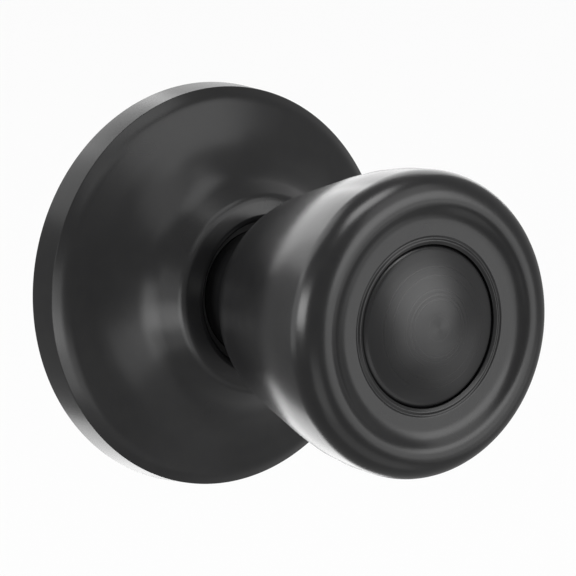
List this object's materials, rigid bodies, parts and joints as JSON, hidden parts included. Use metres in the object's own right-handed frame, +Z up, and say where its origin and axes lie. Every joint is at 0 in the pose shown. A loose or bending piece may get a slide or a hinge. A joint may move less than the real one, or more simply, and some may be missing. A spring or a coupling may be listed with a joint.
{
  "type": "door knob",
  "caption": "Outer half of a passage knob set: a tulip knob with a domed cap turning in a round sprung rose, with spindle and threaded posts behind.",
  "frame": {"origin": "centre of the rose on the door's face", "axes": "+Z up; +Y into the door along the knob's turning axis, so the knob stands out along -Y; +X to the right seen from in front of the door"},
  "size_m": [0.066, 0.1073, 0.066],
  "materials": {
    "satin_black": "satin black lacquer over pressed metal",
    "turned_black": "satin black lacquer over a turned face",
    "zinc_plate": "bright zinc-plated pressed steel",
    "zinc_cast": "dull zinc die casting",
    "spring_steel": "dark tempered spring steel",
    "bright_steel": "machined steel",
    "sintered_bronze": "matte sintered bronze",
    "black_nylon": "moulded black nylon",
    "white_nylon": "moulded natural nylon"
  },
  "bodies": {
    "rose_assembly": {"rose": "satin_black", "rose_bushing": "black_nylon", "mounting_plate": "zinc_plate", "bearing_hub": "zinc_cast", "hub_bushing": "sintered_bronze", "spring_cup": "zinc_plate", "cup_rivets": "bright_steel", "rose_clips": "spring_steel", "clip_rivets": "bright_steel", "post_upper": "zinc_plate", "post_lower": "zinc_plate", "return_spring": "spring_steel"},
    "knob": {"knob_shell": "satin_black", "face_cap": "turned_black", "cap_retainer": "spring_steel", "knob_hub": "zinc_cast", "thrust_washer": "white_nylon", "drive_sleeve": "bright_steel", "spindle_block": "zinc_cast", "spindle": "bright_steel", "spindle_pin": "bright_steel", "torque_cam": "zinc_plate", "spring_washer": "spring_steel", "rear_washer": "zinc_plate", "retaining_ring": "spring_steel", "catch_spring": "spring_steel"},
    "catch": {"knob_catch": "bright_steel"}
  },
  "joints": [
    {"name": "knob_turn", "type": "hinge", "parent": "rose_assembly", "child": "knob", "pos_m": [0, 0, 0], "axis": [0, 1, 0], "range_deg": [-60, 60], "stiffness_Nm_per_rad": 0.45, "deforming": ["return_spring"]},
    {"name": "catch_press", "type": "slide", "parent": "knob", "child": "catch", "axis": [0, 0, 1], "range_m": [0, 0.002], "stiffness_N_per_m": 400, "springref_m": -0.001, "deforming": ["catch_spring"]}
  ]
}
